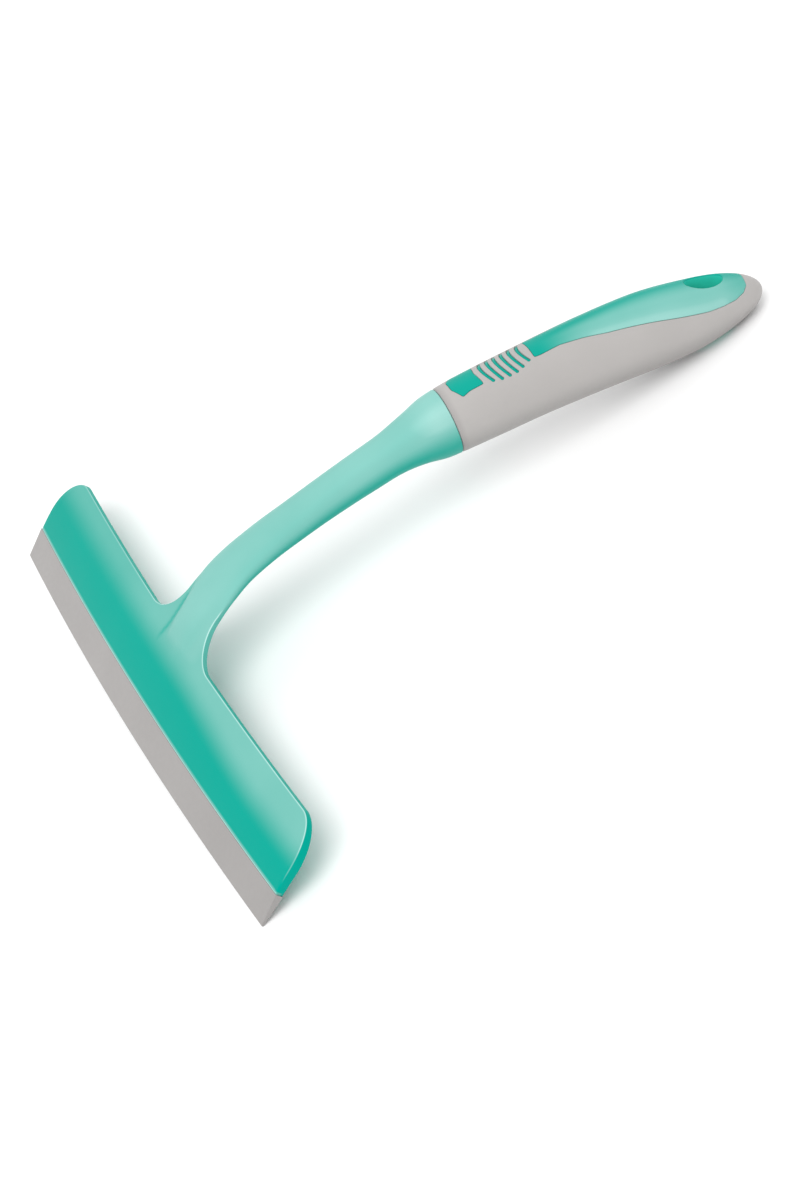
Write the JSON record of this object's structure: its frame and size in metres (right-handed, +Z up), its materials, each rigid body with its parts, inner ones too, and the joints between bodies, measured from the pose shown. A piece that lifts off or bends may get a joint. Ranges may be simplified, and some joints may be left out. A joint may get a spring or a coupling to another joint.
{
  "type": "window cleaning squeegee",
  "caption": "T-shaped hand squeegee: a bowed head plate with a soft wiping blade, a curved neck and a soft-covered grip with thumb ribs and a hanging hole.",
  "frame": {"origin": "on the table, under the middle of the object's box, as it lies on its blade ends and the tail's underside", "axes": "+X along the blade, +Y from the blade to the tail, +Z up"},
  "size_m": [0.2512, 0.2818, 0.0494],
  "materials": {
    "teal_plastic": "satin moulded, soft sheen",
    "blade_rubber": "matte, smooth",
    "grip_rubber": "matte, fine moulded grain"
  },
  "bodies": {
    "handle": {"head_and_neck": "teal_plastic", "handle_core": "teal_plastic", "grip_sleeve": "grip_rubber"},
    "lip": {"wiper_blade": "blade_rubber"}
  },
  "joints": [
    {"name": "blade_flex", "type": "hinge", "parent": "handle", "child": "lip", "pos_m": [0, -0.13453, 0.00688], "axis": [1, 0, 0], "range_deg": [-25, 25], "stiffness_Nm_per_rad": 0.12, "deforming": ["wiper_blade"]}
  ]
}
